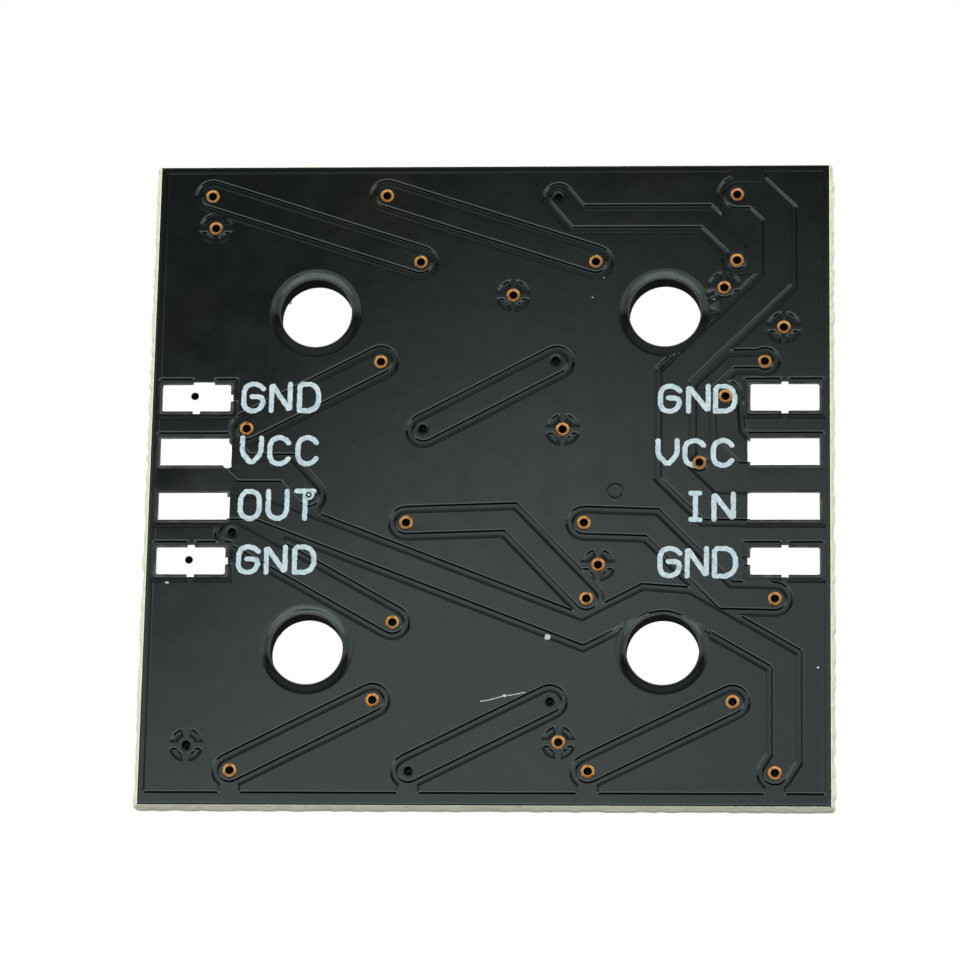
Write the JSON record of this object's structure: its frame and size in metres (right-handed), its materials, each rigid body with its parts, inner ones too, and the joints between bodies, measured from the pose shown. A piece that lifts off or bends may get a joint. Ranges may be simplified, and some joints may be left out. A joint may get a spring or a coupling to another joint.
{
  "type": "rgb led matrix module",
  "caption": "Flat square circuit board with a grid of addressable colour LEDs on one face and tracks, solder pads and bolt holes on the other.",
  "frame": {"origin": "middle of the LED faces that the module lies on, under the middle of the board", "axes": "+X along the board's long side towards the input pads, +Y towards the board's top edge in the picture, +Z out of the rear face"},
  "size_m": [0.0308, 0.0302, 0.0028],
  "materials": {
    "laminate": "pale glass-epoxy laminate, rough and fibrous where it was snapped from its panel",
    "copper": "bare copper foil and plating, slightly oxidised",
    "solder_mask": "glossy black lacquer that follows the relief of the copper",
    "tin": "bright tinned solder with a slightly uneven surface",
    "silver_plate": "stamped lead with satin silver plating",
    "silicon": "grey silicon chip with a fine circuit pattern",
    "emitter": "translucent emitter chip with a gold bond pad",
    "led_housing": "matt white moulded plastic",
    "led_window": "clear, slightly yellow cast resin",
    "capacitor": "brown ceramic with tinned metal ends"
  },
  "bodies": {
    "root": {"laminate": "laminate", "rear_copper": "copper", "front_copper": "copper", "rear_solder_mask": "solder_mask", "front_solder_mask": "solder_mask", "via_barrels": "copper", "input_pad_tin": "tin", "output_pad_tin": "tin", "led_leads": "silver_plate", "led_driver_chips": "silicon", "led_emitter_chips": "emitter", "solder_joints": "tin", "led_housing_01": "led_housing", "led_housing_02": "led_housing", "led_housing_03": "led_housing", "led_housing_04": "led_housing", "led_housing_05": "led_housing", "led_housing_06": "led_housing", "led_housing_07": "led_housing", "led_housing_08": "led_housing", "led_housing_09": "led_housing", "led_housing_10": "led_housing", "led_housing_11": "led_housing", "led_housing_12": "led_housing", "led_housing_13": "led_housing", "led_housing_14": "led_housing", "led_housing_15": "led_housing", "led_housing_16": "led_housing", "led_window_01": "led_window", "led_window_02": "led_window", "led_window_03": "led_window", "led_window_04": "led_window", "led_window_05": "led_window", "led_window_06": "led_window", "led_window_07": "led_window", "led_window_08": "led_window", "led_window_09": "led_window", "led_window_10": "led_window", "led_window_11": "led_window", "led_window_12": "led_window", "led_window_13": "led_window", "led_window_14": "led_window", "led_window_15": "led_window", "led_window_16": "led_window", "capacitor_01": "capacitor", "capacitor_02": "capacitor", "capacitor_03": "capacitor", "capacitor_04": "capacitor", "capacitor_05": "capacitor", "capacitor_06": "capacitor", "capacitor_07": "capacitor", "capacitor_08": "capacitor", "capacitor_09": "capacitor", "capacitor_10": "capacitor", "capacitor_11": "capacitor", "capacitor_12": "capacitor", "capacitor_13": "capacitor", "capacitor_14": "capacitor", "capacitor_15": "capacitor", "capacitor_16": "capacitor"}
  },
  "joints": []
}
